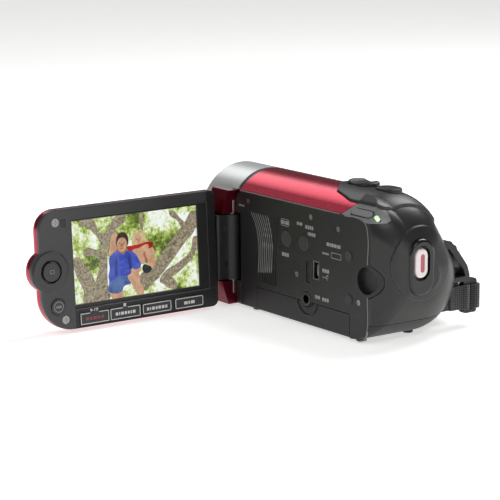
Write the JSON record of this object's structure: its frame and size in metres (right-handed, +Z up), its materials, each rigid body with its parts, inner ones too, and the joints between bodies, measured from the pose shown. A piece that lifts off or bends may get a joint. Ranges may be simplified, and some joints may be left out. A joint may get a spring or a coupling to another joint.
{
  "type": "camcorder",
  "caption": "Pocket camcorder with a fold-out swivelling monitor, round lens ring, record and zoom controls, and a padded hand strap.",
  "frame": {"origin": "centre of the tripod socket's mouth, in the underside of the body", "axes": "+Z up; +Y forward, out of the lens and parallel to its axis; +X to the right, toward the hand strap; the monitor folds out to -X"},
  "size_m": [0.1588, 0.1178, 0.0596],
  "materials": {
    "shell_black": "fine satin grain, black",
    "shell_grey": "satin, dark grey",
    "red_lacquer": "metallic red lacquer, glossy",
    "satin_grey": "satin metallic grey",
    "silver_satin": "satin silver",
    "black_gloss": "glossy black",
    "button_grey": "satin, charcoal",
    "key_black": "satin black with a light outline",
    "rubber": "matt",
    "steel": "plated",
    "lens_glass": "clear, coated",
    "screen": "lit picture",
    "sensor": "glossy",
    "record_white": "pearl white with a red window",
    "strap_fabric": "woven",
    "circuit_board": "solder mask green",
    "battery_case": "fine grain",
    "lamp_green": "clear green"
  },
  "bodies": {
    "body": {"av_jack": "steel", "base_shell": "shell_black", "battery_pack": "battery_case", "case_screws": "steel", "chassis": "steel", "control_deck": "shell_black", "front_cheek": "red_lacquer", "front_lens": "lens_glass", "front_shell": "shell_grey", "hinge_pins": "steel", "image_sensor": "sensor", "left_side_shell": "shell_black", "lens_barrel": "shell_black", "lens_bezel": "black_gloss", "lens_ring": "silver_satin", "main_board": "circuit_board", "power_deck": "satin_grey", "power_lamp": "lamp_green", "rear_shell": "shell_grey", "record_surround": "black_gloss", "right_side_shell": "shell_black", "roof_cover": "red_lacquer", "rubber_feet": "rubber", "seam_ring": "shell_grey", "speaker": "steel", "strap_fittings": "shell_black", "strap_pad": "strap_fabric", "strap_webbing": "strap_fabric", "usb_socket": "steel"},
    "monitor_arm": {"hinge_block": "black_gloss"},
    "monitor": {"monitor_cover": "red_lacquer", "monitor_bezel": "shell_grey", "monitor_frame": "shell_grey", "joystick_ring": "black_gloss", "swivel_shaft": "steel", "picture_glass": "lens_glass", "picture_panel": "screen", "monitor_screws": "steel"},
    "battery_cover": {"battery_cover": "shell_black"},
    "battery_latch": {"battery_latch": "button_grey"},
    "card_cover": {"card_cover": "shell_black"},
    "clip_key": {"clip_key": "key_black"},
    "display_button": {"display_button": "button_grey"},
    "focus_group": {"focus_group": "lens_glass"},
    "function_button": {"function_button": "button_grey"},
    "joystick_cap": {"joystick_cap": "button_grey"},
    "joystick_gimbal": {"joystick_gimbal": "button_grey"},
    "joystick_plunger": {"joystick_plunger": "button_grey"},
    "lens_cover_lower": {"lens_cover_lower": "shell_black"},
    "lens_cover_switch": {"lens_cover_switch": "button_grey"},
    "lens_cover_upper": {"lens_cover_upper": "shell_black"},
    "mode_key": {"mode_key": "key_black"},
    "photo_button": {"photo_button": "satin_grey"},
    "play_key": {"play_key": "key_black"},
    "power_button": {"power_button": "satin_grey"},
    "record_button": {"record_button": "record_white"},
    "stop_key": {"stop_key": "key_black"},
    "web_button": {"web_button": "button_grey"},
    "zoom_group": {"zoom_group": "lens_glass"},
    "zoom_lever": {"zoom_lever": "satin_grey"}
  },
  "joints": [
    {"name": "monitor_open", "type": "hinge", "parent": "body", "child": "monitor_arm", "pos_m": [-0.0232, 0.0324, 0.02465], "axis": [0, 0, 1], "range_deg": [0, 90]},
    {"name": "monitor_swivel", "type": "hinge", "parent": "monitor_arm", "child": "monitor", "pos_m": [-0.031, 0.03675, 0.02465], "axis": [-1, 0, 0], "range_deg": [-90, 180]},
    {"name": "display_press", "type": "slide", "parent": "body", "child": "display_button", "axis": [1, 0, 0], "range_m": [0, 0.0005], "stiffness_N_per_m": 400},
    {"name": "web_press", "type": "slide", "parent": "body", "child": "web_button", "axis": [1, 0, 0], "range_m": [0, 0.0005], "stiffness_N_per_m": 400},
    {"name": "record_press", "type": "slide", "parent": "body", "child": "record_button", "axis": [0, 1, 0], "range_m": [0, 0.0006], "stiffness_N_per_m": 500},
    {"name": "power_press", "type": "slide", "parent": "body", "child": "power_button", "axis": [0.6388, 0, -0.7694], "range_m": [0, 0.0005], "stiffness_N_per_m": 400},
    {"name": "photo_press", "type": "slide", "parent": "body", "child": "photo_button", "axis": [0, 0, -1], "range_m": [0, 0.0005], "stiffness_N_per_m": 500},
    {"name": "zoom_rock", "type": "hinge", "parent": "body", "child": "zoom_lever", "pos_m": [-0.0025, -0.029, 0.0554], "axis": [1, 0, 0], "range_deg": [-5, 5], "stiffness_Nm_per_rad": 0.03},
    {"name": "card_cover_open", "type": "hinge", "parent": "body", "child": "card_cover", "pos_m": [-0.009, -0.0135, 0.0009], "axis": [0, -1, 0], "range_deg": [0, 80]},
    {"name": "battery_cover_open", "type": "hinge", "parent": "body", "child": "battery_cover", "pos_m": [0.0039, -0.025, 0.0009], "axis": [0, 1, 0], "range_deg": [0, 80]},
    {"name": "battery_latch_slide", "type": "slide", "parent": "body", "child": "battery_latch", "axis": [0, 1, 0], "range_m": [0, 0.002], "stiffness_N_per_m": 100},
    {"name": "lens_cover_slide", "type": "slide", "parent": "body", "child": "lens_cover_switch", "axis": [1, 0, 0], "range_m": [0, 0.00515]},
    {"name": "upper_blade_slide", "type": "slide", "parent": "body", "child": "lens_cover_upper", "axis": [0, 0, -1], "range_m": [0, 0.00515]},
    {"name": "lower_blade_slide", "type": "slide", "parent": "body", "child": "lens_cover_lower", "axis": [0, 0, 1], "range_m": [0, 0.00515]},
    {"name": "zoom_group_slide", "type": "slide", "parent": "body", "child": "zoom_group", "axis": [0, 1, 0], "range_m": [0, 0.006]},
    {"name": "focus_group_slide", "type": "slide", "parent": "body", "child": "focus_group", "axis": [0, 1, 0], "range_m": [0, 0.003]},
    {"name": "function_press", "type": "slide", "parent": "monitor", "child": "function_button", "axis": [0, 0.9981, -0.061], "range_m": [0, 0.0005], "stiffness_N_per_m": 300},
    {"name": "stick_press", "type": "slide", "parent": "monitor", "child": "joystick_plunger", "axis": [0, 0.9981, -0.061], "range_m": [0, 0.0004], "stiffness_N_per_m": 400},
    {"name": "stick_up_down", "type": "hinge", "parent": "joystick_plunger", "child": "joystick_gimbal", "pos_m": [-0.11073, 0.03356, 0.02499], "axis": [1, 0, 0], "range_deg": [-6, 6], "stiffness_Nm_per_rad": 0.005},
    {"name": "stick_left_right", "type": "hinge", "parent": "joystick_gimbal", "child": "joystick_cap", "pos_m": [-0.11073, 0.03356, 0.02499], "axis": [0, 0.061, 0.9981], "range_deg": [-6, 6], "stiffness_Nm_per_rad": 0.005},
    {"name": "play_press", "type": "slide", "parent": "monitor", "child": "play_key", "axis": [0, 0.9981, -0.061], "range_m": [0, 0.0004], "stiffness_N_per_m": 300},
    {"name": "stop_press", "type": "slide", "parent": "monitor", "child": "stop_key", "axis": [0, 0.9981, -0.061], "range_m": [0, 0.0004], "stiffness_N_per_m": 300},
    {"name": "clip_press", "type": "slide", "parent": "monitor", "child": "clip_key", "axis": [0, 0.9981, -0.061], "range_m": [0, 0.0004], "stiffness_N_per_m": 300},
    {"name": "mode_press", "type": "slide", "parent": "monitor", "child": "mode_key", "axis": [0, 0.9981, -0.061], "range_m": [0, 0.0004], "stiffness_N_per_m": 300}
  ],
  "couplings": [
    {"joint": "upper_blade_slide", "follows": "lens_cover_slide", "ratio": 1},
    {"joint": "lower_blade_slide", "follows": "lens_cover_slide", "ratio": 1}
  ]
}
